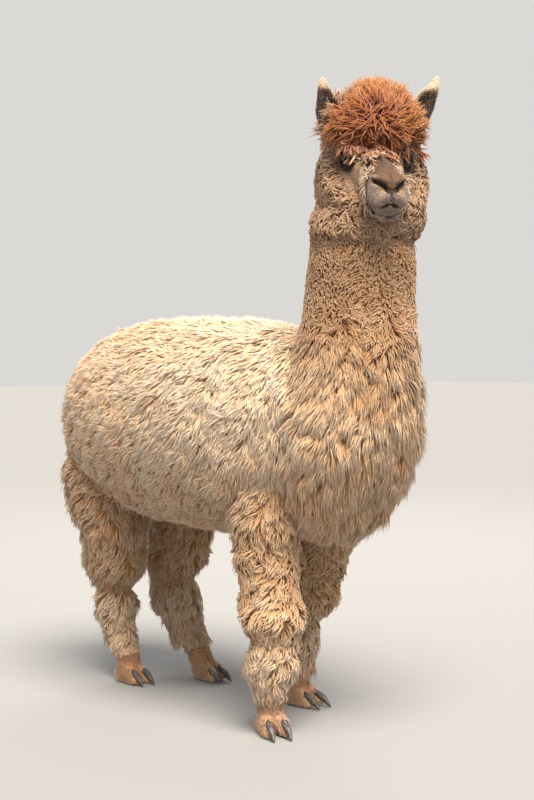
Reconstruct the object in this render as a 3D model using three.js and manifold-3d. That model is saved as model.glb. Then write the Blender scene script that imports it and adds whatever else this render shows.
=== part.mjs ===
// A life-size standing alpaca in full huacaya fleece, as a museum model: head turned to its right,
// weight on all four feet. Millimetres, +Z up, the animal faces -Y and its left side is +X.
// The origin is on the floor under the middle of the model's box.

import * as THREE from 'three';
import { LoftGeometry } from 'three/addons/geometries/LoftGeometry.js';
import { mergeVertices } from 'three/addons/utils/BufferGeometryUtils.js';
import Module from 'manifold-3d';

const wasm = await Module();
wasm.setup();

// ---------------------------------------------------------------- driving dimensions

const GAP = 0.4;               // the thin cut left between two neighbouring pieces

const BACK_HEIGHT = 985;       // floor to the top of the fleece over the loins
const TRUNK_FRONT = -462;      // behind the breast, which is the neck's base
const TRUNK_REAR = 665;        // the rump, fleece included
const TRUNK_HALF_WIDTH = 290;
const TRUNK_DEPTH = 548;       // back to belly

const NECK_RADIUS = 126;       // the neck's fleece is nearly a cylinder
const HEAD_AT = new THREE.Vector3(-4, -428, 1330);   // between the eyes and the ears
const HEAD_TURN = THREE.MathUtils.degToRad(-31);     // to the animal's right, about +Z
const FACE_LENGTH = 193;       // head centre to the tip of the nose
const BONNET_HALF_WIDTH = 128; // the round fleece behind the face
const TOPKNOT_SHIFT = 7;       // the mop is combed a little to the animal's left
const EYE_RADIUS = 17.5;
const EYE_SPACING = 120;       // between the middles of the two eyes

const HOCK_HEIGHT = 262;
const KNEE_HEIGHT = 240;
const FETLOCK_HEIGHT = 86;     // the cut between a lower leg and its foot
const TOE_HALF_WIDTH = 16;     // these three are of a fore foot, and a hind one is smaller
const TOE_REACH = 66;          // from the middle of the foot to the front of a toe's pad
const NAIL_REACH = 92;         // from the middle of the foot to the tip of a nail
const HIND_FOOT_SIZE = 0.9;

const X = new THREE.Vector3(1, 0, 0);
const Y = new THREE.Vector3(0, 1, 0);
const Z = new THREE.Vector3(0, 0, 1);
const DOWN = Z.clone().negate();

// ---------------------------------------------------------------- materials

const finish = (color, roughness) => new THREE.MeshStandardMaterial({ color, roughness, metalness: 0 });
const fleeceCream = finish(0xd9b791, 0.95);
const fleeceTan = finish(0xb98a5e, 0.95);
const fleeceRust = finish(0xa65a2c, 0.95);
const hairFawn = finish(0xb99a80, 0.8);
const hairRusset = finish(0xa8683c, 0.85);
const eyeDark = finish(0x1a100c, 0.08);
const nailSlate = finish(0x3e3a3a, 0.45);

// ---------------------------------------------------------------- helpers

// A closed geometry as a manifold solid.
function solid(geometry) {
  const bare = geometry.index ? geometry.toNonIndexed() : geometry.clone();
  bare.deleteAttribute('normal');
  bare.deleteAttribute('uv');
  const merged = mergeVertices(bare, 1e-3);
  return new wasm.Manifold(new wasm.Mesh({
    numProp: 3,
    vertProperties: merged.attributes.position.array,
    triVerts: new Uint32Array(merged.index.array),
  }));
}

// The mesh of one named sub-part.
function piece(name, body, material) {
  const made = body.getMesh();
  const geometry = new THREE.BufferGeometry();
  geometry.setAttribute('position', new THREE.BufferAttribute(made.vertProperties, 3));
  geometry.setIndex(new THREE.BufferAttribute(made.triVerts, 1));
  geometry.computeVertexNormals();
  const mesh = new THREE.Mesh(geometry, material);
  mesh.name = name;
  return mesh;
}

const at = (x, y, z) => new THREE.Vector3(x, y, z);

// A rounded oval's point: angle 0 is on the side, a quarter turn is ahead, a half turn the other side.
// power 2 is an ellipse, and a higher one is squarer.
function oval(angle, side, ahead, behind, power = 2) {
  const bend = (value) => Math.sign(value) * Math.abs(value) ** (2 / power);
  const across = bend(Math.cos(angle)) * side;
  const along = bend(Math.sin(angle));
  return [across, along > 0 ? along * ahead : along * behind];
}

// A limb, neck or muzzle: ovals square to a smooth line through its stations.
// A station is [point, half width, reach ahead, reach behind]. grow adds to all three, and to both ends.
function limb(stations, { rings, sides, sideways = X, grow = 0, power = 2, ruffle = () => 0 }) {
  const line = new THREE.CatmullRomCurve3(stations.map((s) => s[0]));
  const girth = new THREE.CatmullRomCurve3(stations.map((s) => at(s[1], s[2], s[3])));
  const sections = [];
  for (let i = 0; i <= rings; i++) {
    const t = i / rings;
    const size = girth.getPoint(t);
    const along = line.getTangent(t);
    const ahead = new THREE.Vector3().crossVectors(along, sideways).normalize();
    const capShift = grow * (Number(i === rings) - Number(i === 0));
    const centre = line.getPoint(t).addScaledVector(along, capShift);
    const section = [];
    for (let j = 0; j < sides; j++) {
      const angle = (j / sides) * 2 * Math.PI;
      const more = grow + ruffle(t, angle);
      const [a, b] = oval(angle, size.x + more, size.y + more, size.z + more, power);
      section.push(centre.clone().addScaledVector(sideways, a).addScaledVector(ahead, b));
    }
    sections.push(section);
  }
  return solid(new LoftGeometry(sections, { capStart: true, capEnd: true }));
}

// All of space on the side of a point that the normal shows, short of it by half a cut.
function beyond(point, normal) {
  const size = 4000;
  const box = new THREE.BoxGeometry(size, size, size).translate(0, 0, size / 2 + GAP / 2);
  box.applyQuaternion(new THREE.Quaternion().setFromUnitVectors(Z, normal.clone().normalize()));
  return solid(box.translate(point.x, point.y, point.z));
}

// The largest of the separate bodies that a cut leaves.
function largest(body) {
  return body.decompose().sort((a, b) => b.volume() - a.volume())[0];
}

// A smooth value through evenly spaced ones, for t from 0 to 1.
function through(values, t) {
  const curve = new THREE.CatmullRomCurve3(values.map((value, i) => at(i, value, 0)));
  return curve.getPoint(t).y;
}

// ---------------------------------------------------------------- trunk and tail

// The barrel, lofted from the breast to the rump. Each list runs from front to back.
function trunkShape(grow = 0) {
  const rings = 17;
  const sides = 24;
  const half = (TRUNK_REAR - TRUNK_FRONT) / 2;
  const middleY = (TRUNK_REAR + TRUNK_FRONT) / 2;
  const middleZ = BACK_HEIGHT - TRUNK_DEPTH / 2;
  const widths = [0.72, 0.84, 0.94, 0.99, 1.0, 1.0, 0.97];
  const tops = [0.86, 0.91, 0.94, 0.97, 1.0, 0.98, 0.84];
  const bottoms = [0.86, 1.0, 1.02, 1.0, 0.97, 0.9, 0.84];
  const sections = [];
  for (let i = 0; i <= rings; i++) {
    const t = 0.5 - 0.5 * Math.cos((0.02 + 0.96 * (i / rings)) * Math.PI);
    const s = 2 * t - 1;
    const round = (1 - Math.abs(s) ** 3) ** (1 / 2.3);
    const width = TRUNK_HALF_WIDTH * through(widths, t) * round + grow;
    const top = (TRUNK_DEPTH / 2) * through(tops, t) * round + grow;
    const bottom = (TRUNK_DEPTH / 2) * through(bottoms, t) * round + grow;
    const section = [];
    for (let j = 0; j < sides; j++) {
      const angle = -(j / sides) * 2 * Math.PI;
      const [across, up] = oval(angle, width, top, bottom, 2.2);
      section.push(at(across, middleY + s * (half + grow), middleZ + up));
    }
    sections.push(section);
  }
  return solid(new LoftGeometry(sections, { capStart: true, capEnd: true }));
}

function tailShape() {
  return limb([
    [at(0, 590, 790), 44, 36, 36],
    [at(0, 642, 772), 54, 40, 42],
    [at(0, 672, 710), 60, 42, 44],
    [at(0, 680, 635), 58, 40, 42],
    [at(0, 672, 565), 42, 30, 32],
    [at(0, 662, 528), 16, 12, 12],
  ], { rings: 7, sides: 10 });
}

// ---------------------------------------------------------------- neck

// From the throat down into the breast, so that ahead is the throat's side.
function neckShape(grow = 0) {
  return limb([
    [at(-2, -386, 1275), 84, 66, 90],
    [at(0, -398, 1210), 116, 96, 124],
    [at(0, -402, 1130), NECK_RADIUS, 118, 134],
    [at(0, -390, 1020), NECK_RADIUS + 4, 124, 134],
    [at(0, -382, 910), 136, 134, 144],
    [at(0, -366, 810), 160, 148, 170],
    [at(0, -345, 700), 184, 152, 190],
    [at(0, -320, 600), 168, 134, 176],
    [at(0, -288, 516), 124, 100, 130],
    [at(0, -262, 476), 56, 50, 60],
  ], { rings: 12, sides: 16, grow });
}

// ---------------------------------------------------------------- head

// The head's own frame: across to its left, forward along the face, up. It turns, and doesn't tilt.
const left = X.clone().applyAxisAngle(Z, HEAD_TURN);
const forward = Y.clone().negate().applyAxisAngle(Z, HEAD_TURN);
function headPoint(across, ahead, up) {
  return HEAD_AT.clone().addScaledVector(left, across).addScaledVector(forward, ahead).addScaledVector(Z, up);
}

function muzzleShape(grow = 0) {
  return limb([
    [headPoint(0, -40, -15), 62, 70, 76],
    [headPoint(0, 30, -38), 68, 62, 76],
    [headPoint(0, 85, -62), 55, 50, 64],
    [headPoint(0, 130, -82), 46, 42, 60],
    [headPoint(0, 165, -97), 46, 40, 58],
    [headPoint(0, 184, -106), 37, 31, 44],
    [headPoint(0, FACE_LENGTH, -110), 15, 13, 18],
  ], { rings: 10, sides: 12, sideways: left, power: 2.3, grow });
}

// The ball of fleece behind the face, over the cheeks, throat and poll.
function bonnetShape(grow = 0) {
  const w = BONNET_HALF_WIDTH;
  const x = 4;
  return limb([
    [headPoint(x, -150, -22), 34, 44, 48],
    [headPoint(x, -134, -28), 82, 86, 96],
    [headPoint(x, -92, -40), 116, 110, 138],
    [headPoint(x, -40, -54), w, 114, 152],
    [headPoint(x, 4, -70), w, 82, 152],
    [headPoint(x, 42, -92), w - 12, 38, 144],
    [headPoint(x, 78, -116), 94, 24, 116],
    [headPoint(x, 100, -132), 44, 12, 58],
  ], { rings: 10, sides: 20, sideways: left, power: 2.8, grow });
}

// The mop over the forehead, combed into points.
function topknotShape(grow = 0) {
  const spikes = (t, angle) => 9 * Math.sin(9 * angle + 40 * t) * Math.sin(Math.PI * t);
  return limb([
    [headPoint(TOPKNOT_SHIFT, -112, 62), 50, 44, 40],
    [headPoint(TOPKNOT_SHIFT, -88, 66), 96, 78, 60],
    [headPoint(TOPKNOT_SHIFT, -40, 66), 114, 92, 62],
    [headPoint(TOPKNOT_SHIFT, 10, 58), 117, 90, 56],
    [headPoint(TOPKNOT_SHIFT, 55, 44), 102, 68, 48],
    [headPoint(TOPKNOT_SHIFT, 84, 30), 62, 38, 34],
    [headPoint(TOPKNOT_SHIFT, 94, 24), 22, 14, 14],
  ], { rings: 10, sides: 25, sideways: left, ruffle: spikes, grow });
}

// The ears' middle lines, from root to tip: how far out from the head's middle, how high, half width.
const EARS = {
  right: [[74, 36, 20], [84, 78, 27], [89, 104, 30], [92, 132, 24], [101, 157, 11], [103, 175, 3]],
  left: [[92, 40, 20], [112, 80, 28], [127, 116, 30], [139, 144, 24], [154, 165, 11], [165, 187, 3]],
};

// A spear-shaped ear, scooped out in front.
function earShape(side, stations) {
  const outer = (grow, shift) => limb(stations.map(([out, up, width], i) => [
    headPoint(side * out, -54 + 1.5 * i + shift, up), width + grow,
    Math.min(16, width * 0.6 + 1) + grow, Math.min(16, width * 0.6 + 1) + grow,
  ]), { rings: 7, sides: 10, sideways: left });
  return outer(0, 0).subtract(outer(-2.5, 14));
}

function eyeBall(side, grow = 0) {
  const ball = new THREE.SphereGeometry(EYE_RADIUS + grow, 12, 8);
  const place = headPoint(side * EYE_SPACING / 2, 47, -20);
  return solid(ball.translate(place.x, place.y, place.z));
}

// ---------------------------------------------------------------- legs

// Where each foot stands, how many degrees its toes turn to the animal's left, and how far behind its
// middle the fetlock is.
const FEET = {
  front_right: { foot: at(-128, -222, 0), toeTurn: -22, fetlockBack: 4 },
  front_left: { foot: at(107, -52, 0), toeTurn: 6, fetlockBack: 4 },
  hind_right: { foot: at(-79, 425, 0), toeTurn: 2, fetlockBack: 12 },
  hind_left: { foot: at(99, 318, 0), toeTurn: 2, fetlockBack: 46 },
};

// A fore leg's line, from inside the trunk down to the fetlock. lean is how far the elbow is ahead of
// the foot, and shag is how much fleece its cannon wears.
function frontLeg(foot, lean, shag) {
  const side = Math.sign(foot.x);
  const { x, y } = foot;
  return limb([
    [at(side * 118, y - lean * 1.1, 640), 76, 96, 96],
    [at(side * 124, y - lean * 1.1, 520), 88, 102, 98],
    [at(x + side * 2, y - lean * 0.9 + 4, 430), 78, 80, 80],
    [at(x, y - lean * 0.6, 350), 72, 72, 70],
    [at(x, y - lean * 0.2 - 8, 272), 67, 70, 66],
    [at(x, y - 7, 225), 57 * shag, 57 * shag, 57 * shag],
    [at(x, y - 4, 180), 56 * shag, 55 * shag, 56 * shag],
    [at(x, y, 120), 48 * shag, 48 * shag, 48 * shag],
    [at(x, y + 4, 60), 37, 38, 38],
  ], { rings: 12, sides: 12 });
}

// A hind leg's line, by way of the stifle and the hock. shag is how much fleece its cannon wears.
function hindLeg({ foot, fetlockBack }, thigh, hock, shag) {
  const side = Math.sign(foot.x);
  const ankle = foot.clone().add(at(0, fetlockBack, 60));
  const cannon = (t, bow) => hock.clone().lerp(ankle, t).add(at(0, bow, 0));
  return limb([
    [at(side * 110, 470, 700), 60, 80, 80],
    [at(side * 127, 480, 600), 104, 134, 112],
    [at(side * 126, (480 + thigh) / 2 + 8, 510), 104, 130, 106],
    [at(side * 121, thigh, 430), 94, 110, 104],
    [at(hock.x + side * 14, (thigh + hock.y) / 2, 338), 79, 92, 98],
    [cannon(0, 0), 57 * shag, 60, 62 * shag],
    [cannon(0.42, 10), 46 * shag, 46 * shag, 50 * shag],
    [cannon(0.76, 8), 38 * shag, 38 * shag, 42 * shag],
    [cannon(1, 0), 34, 36, 36],
  ], { rings: 13, sides: 12 });
}

// Two toes on soft pads, side by side under a pastern, and the solid of each toe's nail.
function footShape({ foot, toeTurn, fetlockBack }, size) {
  const turn = THREE.MathUtils.degToRad(toeTurn);
  const toward = Y.clone().negate().applyAxisAngle(Z, turn);
  const across = X.clone().applyAxisAngle(Z, turn);
  const place = (a, f, z) => foot.clone().addScaledVector(across, a * size)
    .addScaledVector(toward, f * size).setZ(z);
  const fetlock = foot.clone().add(at(0, fetlockBack, 0));
  let body = limb([
    [fetlock.clone().setZ(130), 36, 36, 36],
    [fetlock.clone().setZ(86), 34, 35, 35],
    [fetlock.clone().lerp(foot, 0.5).setZ(52), 32, 34, 36],
    [place(0, 2, 24), 29, 32, 34],
  ], { rings: 3, sides: 10 });
  const nails = [];
  for (const side of [-1, 1]) {
    const a = side * (TOE_HALF_WIDTH + 1);
    const splay = side * 1.5;
    const w = TOE_HALF_WIDTH * size;
    body = body.add(limb([
      [place(a * 0.9, -46, 14), w - 7, 10, 12],
      [place(a * 0.95, -34, 20), w - 2, 20, 24],
      [place(a, 4, 28), w + 1, 28, 32],
      [place(a + splay, 36, 24), w, 24, 28],
      [place(a + splay * 2, TOE_REACH - 10, 16), w - 4, 14, 18],
      [place(a + splay * 2, TOE_REACH, 13), w - 9, 6, 8],
    ], { rings: 5, sides: 8, sideways: across, power: 2.4 }));
    nails.push((grow = 0) => limb([
      [place(a + splay, 34, 37), 6 + grow, 5 + grow, 5 + grow],
      [place(a + splay * 1.4, 49, 33), 9 + grow, 8 + grow, 9 + grow],
      [place(a + splay * 2, 67, 24), 9 + grow, 8 + grow, 9 + grow],
      [place(a + splay * 2.4, 82, 12), 5.5 + grow, 5.5 + grow, 7 + grow],
      [place(a + splay * 2.6, NAIL_REACH, 3), 2 + grow, 1.6 + grow, 2 + grow],
    ], { rings: 4, sides: 6, sideways: across }));
  }
  return { body, nails };
}

// ---------------------------------------------------------------- assembly

const alpaca = new THREE.Group();

const trunkRoom = trunkShape(GAP);
const neckRoom = neckShape(GAP);
const bonnetRoom = bonnetShape(GAP);
const topknotRoom = topknotShape(GAP);
const mouth = headPoint(0, 165, -129);
const overMouth = Z.clone().addScaledVector(forward, 0.36);
const underMouth = overMouth.clone().negate();

let head = bonnetShape().add(muzzleShape().intersect(beyond(mouth, overMouth))).subtract(topknotRoom);
let topknot = topknotShape();
for (const side of [-1, 1]) {
  head = head.subtract(eyeBall(side, GAP));
  topknot = topknot.subtract(eyeBall(side, GAP));
}
const jaw = muzzleShape().intersect(beyond(mouth, underMouth)).subtract(bonnetRoom);
const neck = neckShape().subtract(trunkRoom).subtract(bonnetRoom).subtract(muzzleShape(GAP));
const headRoom = bonnetRoom.add(topknotRoom);

alpaca.add(piece('trunk', trunkShape(), fleeceCream));
alpaca.add(piece('tail', tailShape().subtract(trunkRoom), fleeceCream));
alpaca.add(piece('neck', neck, fleeceCream));
alpaca.add(piece('head', head, hairFawn));
alpaca.add(piece('jaw', jaw, hairFawn));
alpaca.add(piece('topknot', topknot, fleeceRust));
alpaca.add(piece('eye_right', eyeBall(-1), eyeDark));
alpaca.add(piece('eye_left', eyeBall(1), eyeDark));
alpaca.add(piece('ear_right', largest(earShape(-1, EARS.right).subtract(headRoom)), hairFawn));
alpaca.add(piece('ear_left', largest(earShape(1, EARS.left).subtract(headRoom)), hairFawn));

const legLines = {
  front_right: frontLeg(FEET.front_right.foot, -12, 1.04),
  front_left: frontLeg(FEET.front_left.foot, 110, 0.9),
  hind_right: hindLeg(FEET.hind_right, 442, at(-92, 478, HOCK_HEIGHT), 1),
  hind_left: hindLeg(FEET.hind_left, 462, at(105, 478, HOCK_HEIGHT), 1.24),
};
for (const [name, leg] of Object.entries(legLines)) {
  const joint = at(0, 0, name.startsWith('front') ? KNEE_HEIGHT : HOCK_HEIGHT);
  const fetlock = at(0, 0, FETLOCK_HEIGHT);
  const upper = leg.intersect(beyond(joint, Z)).subtract(trunkRoom).subtract(neckRoom);
  const lower = leg.intersect(beyond(joint, DOWN)).intersect(beyond(fetlock, Z));
  const size = name.startsWith('front') ? 1 : HIND_FOOT_SIZE;
  const { body, nails } = footShape(FEET[name], size);
  let foot = body.intersect(beyond(fetlock, DOWN)).intersect(beyond(at(0, 0, -GAP / 2), Z));
  alpaca.add(piece('leg_' + name + '_upper', largest(upper), fleeceTan));
  alpaca.add(piece('leg_' + name + '_lower', lower, fleeceTan));
  nails.forEach((nail, i) => {
    foot = foot.subtract(nail(GAP));
    const aboveFloor = nail().intersect(beyond(at(0, 0, -GAP / 2), Z));
    alpaca.add(piece('nail_' + name + '_' + (i + 1), aboveFloor, nailSlate));
  });
  alpaca.add(piece('foot_' + name, foot, hairRusset));
}

// The origin goes under the middle of the whole animal's box.
const middle = new THREE.Box3().setFromObject(alpaca).getCenter(new THREE.Vector3());
alpaca.position.set(-middle.x, -middle.y, 0);

export default alpaca;
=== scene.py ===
# %% [markdown]
# # A standing alpaca in full fleece
#
# The solids of the frame reach out to the tips of the fleece. On the real animal there is a skin
# some way inside them, and the fleece stands on it in locks. The scene is built in the same order:
# first one skin without seams, then the eyes and nails, then the locks, region by region.

import math

import bpy
import numpy as np
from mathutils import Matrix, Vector, kdtree


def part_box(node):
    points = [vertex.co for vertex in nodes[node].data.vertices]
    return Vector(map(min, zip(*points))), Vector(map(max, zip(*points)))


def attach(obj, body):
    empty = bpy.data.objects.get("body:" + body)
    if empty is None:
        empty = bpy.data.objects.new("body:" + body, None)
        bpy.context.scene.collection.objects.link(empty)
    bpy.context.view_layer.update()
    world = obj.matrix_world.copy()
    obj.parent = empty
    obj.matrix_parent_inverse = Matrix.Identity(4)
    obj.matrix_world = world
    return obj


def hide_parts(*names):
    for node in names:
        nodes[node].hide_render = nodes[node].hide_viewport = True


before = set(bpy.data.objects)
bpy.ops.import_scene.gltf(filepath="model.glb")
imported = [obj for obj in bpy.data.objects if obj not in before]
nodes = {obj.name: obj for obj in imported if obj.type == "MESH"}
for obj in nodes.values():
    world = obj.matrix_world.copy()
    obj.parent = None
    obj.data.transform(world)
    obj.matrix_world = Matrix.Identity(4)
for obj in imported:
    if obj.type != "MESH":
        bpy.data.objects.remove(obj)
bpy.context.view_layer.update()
MM = 0.001
UP = np.array([0.0, 0.0, 1.0])
print("nodes in the frame:", len(nodes))

# %% [markdown]
# ## The camera
#
# It stands ahead of the animal and to its right, a little lower than its back, with a lens that is
# long enough to keep the legs straight.

# %% The camera
CAMERA_PLACE = (-2.29, -2.842, 0.89)
CAMERA_TURN = math.radians(-40)
CAMERA_PITCH = math.radians(-1.9)
CAMERA_LENS = 65.07

bpy.ops.object.camera_add(
    location=CAMERA_PLACE,
    rotation=(math.radians(90) + CAMERA_PITCH, 0, CAMERA_TURN),
)
camera = bpy.context.object
camera.name = "camera"
camera.data.lens = CAMERA_LENS
camera.data.sensor_width = 36
bpy.context.scene.camera = camera

# %% [markdown]
# ## The head's own axes
#
# The head is turned to the animal's right, so everything on the face is placed from the middle
# between the eyes: so far to the animal's left, so far ahead and so far up, in millimetres.


# %% The head's axes
def middle_of(node):
    low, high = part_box(node)
    return np.array((low + high) / 2)


EYE = {"right": middle_of("eye_right"), "left": middle_of("eye_left")}
BROW = (EYE["right"] + EYE["left"]) / 2
LEFT = (EYE["left"] - EYE["right"]) / np.linalg.norm(EYE["left"] - EYE["right"])
AHEAD = np.cross(LEFT, UP)
FACE_AXES = np.array([LEFT, AHEAD, UP])


def on_face(points):
    """Points of the frame as millimetres to the left of, ahead of and above the middle of the eyes."""
    return (points - BROW) @ FACE_AXES.T / MM


def from_face(left, ahead, up):
    return BROW + (np.array([left, ahead, up]) @ FACE_AXES) * MM


print("between the eyes:", BROW.round(3), "looking along", AHEAD.round(2))

# %% [markdown]
# ## Tools for meshes
#
# These few functions select pieces, read and move vertices, and run an operation on some faces.


# %% Tools for meshes
def read_values(items, key, width, kind=np.float32):
    """One property of all vertices, edges, faces or corners, as an array with a row for each."""
    values = np.empty(len(items) * width, kind)
    items.foreach_get(key, values)
    return values.reshape(-1, width)


def vertex_places(mesh):
    return read_values(mesh.vertices, "co", 3).astype(float)


def normals_of(mesh):
    return read_values(mesh.vertex_normals, "vector", 3).astype(float)


def edges_of(mesh):
    return read_values(mesh.edges, "vertices", 2, np.int32)


def triangles_of(mesh):
    mesh.calc_loop_triangles()
    return read_values(mesh.loop_triangles, "vertices", 3, np.int32)


def set_values(mesh, name, values):
    mesh.attributes.new(name, "FLOAT", "POINT").data.foreach_set("value", values.astype(np.float32))


def move_to(mesh, places):
    mesh.vertices.foreach_set("co", places.astype(np.float32).ravel())
    mesh.update()


def push_out(mesh, amount):
    """Moves each vertex along its normal by an amount in metres."""
    move_to(mesh, vertex_places(mesh) + normals_of(mesh) * np.reshape(amount, (-1, 1)))


def select_only(*pieces):
    bpy.ops.object.select_all(action="DESELECT")
    for piece in pieces:
        piece.select_set(True)
    bpy.context.view_layer.objects.active = pieces[0]


def joined(first, *others):
    """The others become part of the first."""
    select_only(first, *others)
    if others:
        bpy.ops.object.join()
    return first


def edit_faces(piece, operation, chosen=None, **settings):
    """Runs an operation of edit mode on the chosen faces, or on all."""
    select_only(piece)
    bpy.ops.object.mode_set(mode="EDIT")
    bpy.ops.mesh.select_all(action="SELECT" if chosen is None else "DESELECT")
    if chosen is not None:
        bpy.ops.object.mode_set(mode="OBJECT")
        piece.data.polygons.foreach_set("select", chosen)
        bpy.ops.object.mode_set(mode="EDIT")
    operation(**settings)
    bpy.ops.object.mode_set(mode="OBJECT")


def apply_modifier(piece, kind, **settings):
    select_only(piece)
    modifier = piece.modifiers.new(kind.lower(), kind)
    for key, value in settings.items():
        setattr(modifier, key, value)
    bpy.ops.object.modifier_apply(modifier=modifier.name)


def remesh(piece, voxel, rounds):
    """Rebuilds the piece as one closed surface of small voxels, and smooths it a few times."""
    apply_modifier(piece, "REMESH", mode="VOXEL", voxel_size=voxel)
    apply_modifier(piece, "SMOOTH", factor=0.5, iterations=rounds)


def thin(piece, share, group, vertices):
    """Keeps this share of the piece's triangles, and takes the rest from among some vertices."""
    piece.vertex_groups.new(name=group).add(vertices.tolist(), 1.0, "REPLACE")
    apply_modifier(piece, "DECIMATE", ratio=share, vertex_group=group, vertex_group_factor=1.0)
    piece.vertex_groups.clear()


# %% [markdown]
# ## One skin
#
# The flesh is copied, joined and remeshed in small voxels, which closes the thin cuts between the
# parts. Then the plain stretches, which the fleece covers, are thinned out again. The head and the
# feet keep their fine mesh, because they show.

# %% A seamless copy of the flesh
FLESH = [name for name in nodes if not name.startswith(("eye", "nail"))]
EARS = ("ear_right", "ear_left")
VOXEL = 0.004
EAR_VOXEL = 0.0018    # an ear is thin, so its voxels are small
EAR_PADDING = 0.0016  # and it is made this much thicker on each side, so that its rim stays whole
EAR_ROOT = 58         # each ear is cut off level this far above the eyes, inside the mop, in mm
HEAD_FLOOR = 1.12     # the fine mesh of the head starts at this height
FOOT_CEILING = 0.115  # and that of the feet ends here
KEPT_SHARE = 0.34     # how much of the skin's mesh is kept, with the fine parts whole


def joined_copy(names, label):
    """One new object from copies of some CAD nodes, with their loose triangles sewn together."""
    copies = [bpy.data.objects.new("copy_" + name, nodes[name].data.copy()) for name in names]
    for copy in copies:
        bpy.context.scene.collection.objects.link(copy)
    made = joined(*copies[::-1])
    made.name = made.data.name = label
    made.data.materials.clear()
    edit_faces(made, bpy.ops.mesh.remove_doubles, threshold=0.00002)
    return made


skin = joined_copy([name for name in FLESH if name not in EARS], "skin")
remesh(skin, VOXEL, 12)
ears = joined_copy(EARS, "ears")
push_out(ears.data, EAR_PADDING)
remesh(ears, EAR_VOXEL, 6)
edit_faces(ears, bpy.ops.mesh.bisect, plane_co=from_face(0, 0, EAR_ROOT), plane_no=UP,
           use_fill=True, clear_inner=True)
skin = joined(skin, ears)
height = vertex_places(skin.data)[:, 2]
thin(skin, KEPT_SHARE, "covered", np.where((height < HEAD_FLOOR) & (height > FOOT_CEILING))[0])
print("skin faces:", len(skin.data.polygons))

# %% [markdown]
# ## Which part is this?
#
# Each point of the skin gets a share of each region: trunk, neck, topknot and so on. It asks which
# solid is nearest, and the answers are then blurred along the skin, so that the depth of the coat
# and its colours change slowly from one region to the next.


# %% Shares of the regions
REGION_OF = {"trunk": "trunk", "tail": "tail", "neck": "neck", "head": "head", "jaw": "head",
             "topknot": "topknot", "ear_right": "ear", "ear_left": "ear"}
for name in nodes:
    if name.startswith("leg"):
        REGION_OF[name] = "upper leg" if name.endswith("upper") else "lower leg"
    if name.startswith("foot"):
        REGION_OF[name] = "foot"
REGIONS = sorted(set(REGION_OF.values()))


def areas(corners):
    """The area of each triangle, given as the places of its corners."""
    first, second = corners[:, 1] - corners[:, 0], corners[:, 2] - corners[:, 0]
    return np.linalg.norm(np.cross(first, second), axis=1) / 2


def scatter(rng, corners, number):
    """Random points on triangles, given as the places of their corners, evenly by area."""
    area = areas(corners)
    chosen = rng.choice(len(corners), number, p=area / area.sum())
    a, b = rng.random((2, number))
    over = a + b > 1
    a[over], b[over] = 1 - a[over], 1 - b[over]
    weights = np.stack([1 - a - b, a, b], 1)
    return chosen, weights


def nearest_index(points, targets):
    """For each point, the number of the nearest target."""
    tree = kdtree.KDTree(len(targets))
    for i, target in enumerate(targets):
        tree.insert(target, i)
    tree.balance()
    return np.array([tree.find(point)[1] for point in points])


def region_shares(points):
    rng = np.random.default_rng(1)
    samples, labels = [], []
    for name in FLESH:
        mesh = nodes[name].data
        corners = vertex_places(mesh)[triangles_of(mesh)]
        number = 400 + len(corners) * 6
        chosen, weights = scatter(rng, corners, number)
        samples.append((corners[chosen] * weights[:, :, None]).sum(1))
        labels += [REGIONS.index(REGION_OF[name])] * number
    nearest = nearest_index(points, np.concatenate(samples))
    return np.eye(len(REGIONS))[np.array(labels)[nearest]]


def blur(values, edges, rounds):
    """Each row moves to the mean of its neighbours' rows, again and again."""
    first, second = edges[:, 0], edges[:, 1]
    count = np.maximum(np.bincount(edges.ravel(), minlength=len(values)), 1)[:, None]
    for _ in range(rounds):
        sums = [np.bincount(first, column[second], len(values))
                + np.bincount(second, column[first], len(values)) for column in values.T]
        values = 0.5 * values + 0.5 * np.stack(sums, 1) / count
    return values


places = vertex_places(skin.data)
edges = edges_of(skin.data)
shares = blur(region_shares(places), edges, 10)
print("shares of", REGIONS)

# %% [markdown]
# ## How deep the skin lies
#
# A huacaya's fleece is deep on the trunk and mop, and shallow on the cheeks and lower legs. The
# muzzle, the rims of the eyes and the feet have only short hair. The skin is moved in by that much,
# in small steps that are evened out between, so that it doesn't fold into itself.

# %% The bare part of the face, and the depth of the coat
COAT_DEPTH = {"trunk": 14, "tail": 14, "neck": 9, "head": 12, "topknot": 26, "ear": 1,
              "upper leg": 12, "lower leg": 11, "foot": 2.5}
BARE_DEPTH = 2.5
MUZZLE_ROOT = np.array([0.0, -17.0, -18.0])       # the ends of the muzzle's middle line on the face
MUZZLE_TIP = np.array([0.0, 146.0, -90.0])
RUFF_EDGE = -160      # where the ruff under the chin ends, in mm above the eyes
KNEE_BALL = np.array([-0.080, -0.306, 0.222])     # the middle of the ball of fleece at the right knee
BALL_SWELL = 20       # how far it stands out, in mm
LEG_SWELLS = ((8, 0.282, 0.030), (-7, 0.224, 0.018), (5, 0.155, 0.032))   # mm, at a height, this wide
HOCK_RISE = 0.035     # they lie this much higher on a hind leg
RUFF_SWELL = 9        # how far the ruff stands out, and the neck below it lies in, in mm
RUFF_STEP = 5
DOME_DRAWN_IN = 0.3   # the share by which the dome under the mop is narrowed at its top
EAR_TIP_SWELL = 2.5
SINK_STEPS = 6
DOME_RUBS = 60        # rounds of blurring that rub the lumps off the mop's solid
HEAD_RUBS = 16


def ease(low, high, value):
    """0 below low, 1 above high, and smooth between. With low above high it falls instead."""
    t = np.clip((value - low) / (high - low), 0, 1)
    return t * t * (3 - 2 * t)


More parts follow.
